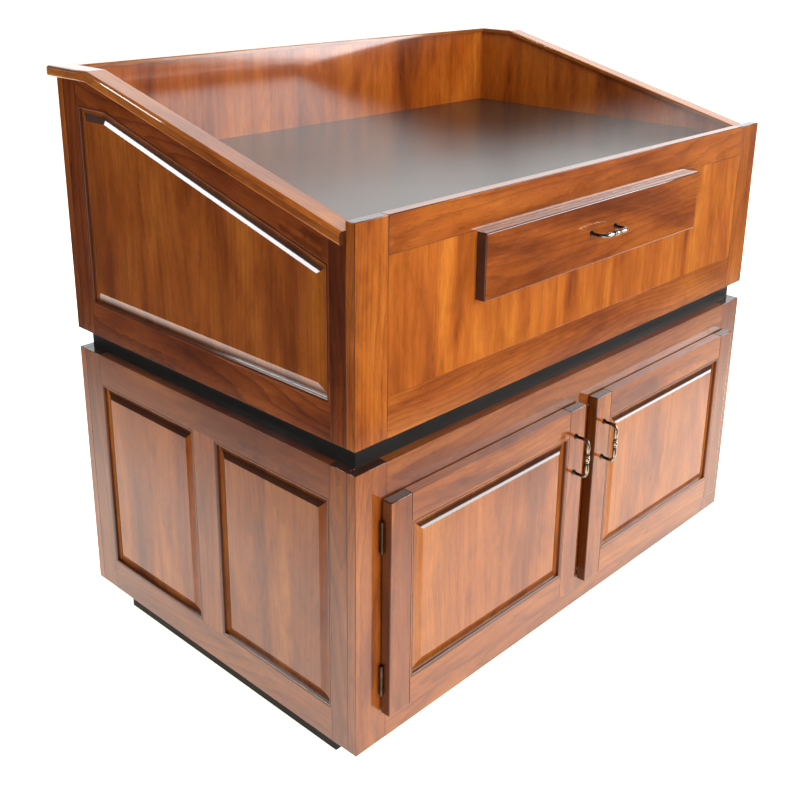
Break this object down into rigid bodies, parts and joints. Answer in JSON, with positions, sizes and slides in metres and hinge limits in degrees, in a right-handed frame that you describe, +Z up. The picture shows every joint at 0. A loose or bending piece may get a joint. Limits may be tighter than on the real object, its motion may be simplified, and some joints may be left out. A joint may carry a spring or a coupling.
{
  "type": "pulpit",
  "caption": "Wooden pulpit with sloping walls round a flat worksurface, a drawer below it, a recessed black band and a cabinet with overlay doors.",
  "frame": {"origin": "centre of the overall footprint, on the floor", "axes": "+X to the right as the standing speaker sees it, +Y away from the speaker and towards the listeners, +Z up; the doors and the drawer face -Y"},
  "size_m": [1.244, 0.8496, 1.152],
  "materials": {
    "cherry": "glossy lacquered cherry",
    "plywood": "satin lacquered plywood",
    "black_paint": "satin black paint on board",
    "black_laminate": "matt black laminate on board",
    "bronze": "antique bronze plating, worn bright on the raised parts",
    "zinc_steel": "bright zinc plating",
    "clear_plastic": "soft translucent plastic"
  },
  "bodies": {
    "cabinet": {"plinth_frame": "black_paint", "lower_floor": "plywood", "lower_front_frame": "cherry", "lower_left_frame": "cherry", "lower_left_panels": "cherry", "lower_right_frame": "cherry", "lower_right_panels": "cherry", "lower_back_frame": "cherry", "lower_back_panels": "cherry", "centre_partition": "plywood", "left_shelf": "plywood", "right_shelf": "plywood", "shelf_pins": "zinc_steel", "lower_top": "cherry", "reveal_frame": "black_paint", "section_bolts": "zinc_steel", "upper_floor": "plywood", "upper_front_frame": "cherry", "upper_front_panel": "cherry", "upper_left_frame": "cherry", "upper_left_panel": "cherry", "upper_right_frame": "cherry", "upper_right_panel": "cherry", "upper_back_frame": "cherry", "upper_back_panel": "cherry", "left_lining": "cherry", "right_lining": "cherry", "back_lining": "cherry", "worksurface": "black_laminate", "worksurface_cleats": "plywood", "left_cap": "cherry", "right_cap": "cherry", "rear_cap": "cherry", "drawer_hangers": "plywood", "cabinet_slide_members": "zinc_steel", "hinge_frame_leaves": "bronze", "hinge_pins": "bronze", "hinge_frame_screws": "zinc_steel"},
    "slide_middle": {"middle_slide_members": "zinc_steel"},
    "drawer": {"drawer_front": "cherry", "drawer_sides": "plywood", "drawer_box_front": "plywood", "drawer_box_back": "plywood", "drawer_bottom": "plywood", "drawer_slide_members": "zinc_steel", "drawer_pull": "bronze", "drawer_pull_screws": "zinc_steel"},
    "left_door": {"left_door_frame": "cherry", "left_door_panel": "cherry", "left_door_pull": "bronze", "left_door_leaves": "bronze", "left_door_screws": "zinc_steel", "left_door_bumpers": "clear_plastic"},
    "right_door": {"right_door_frame": "cherry", "right_door_panel": "cherry", "right_door_pull": "bronze", "right_door_leaves": "bronze", "right_door_screws": "zinc_steel", "right_door_bumpers": "clear_plastic"}
  },
  "joints": [
    {"name": "middle_slide", "type": "slide", "parent": "cabinet", "child": "slide_middle", "axis": [0, -1, 0], "range_m": [0, 0.2]},
    {"name": "drawer_slide", "type": "slide", "parent": "cabinet", "child": "drawer", "axis": [0, -1, 0], "range_m": [0, 0.4]},
    {"name": "left_door_hinge", "type": "hinge", "parent": "cabinet", "child": "left_door", "pos_m": [-0.5561, -0.37525, 0.34], "axis": [0, 0, -1], "range_deg": [0, 110]},
    {"name": "right_door_hinge", "type": "hinge", "parent": "cabinet", "child": "right_door", "pos_m": [0.5561, -0.37525, 0.34], "axis": [0, 0, 1], "range_deg": [0, 110]}
  ],
  "couplings": [
    {"joint": "middle_slide", "follows": "drawer_slide", "ratio": 0.5}
  ]
}
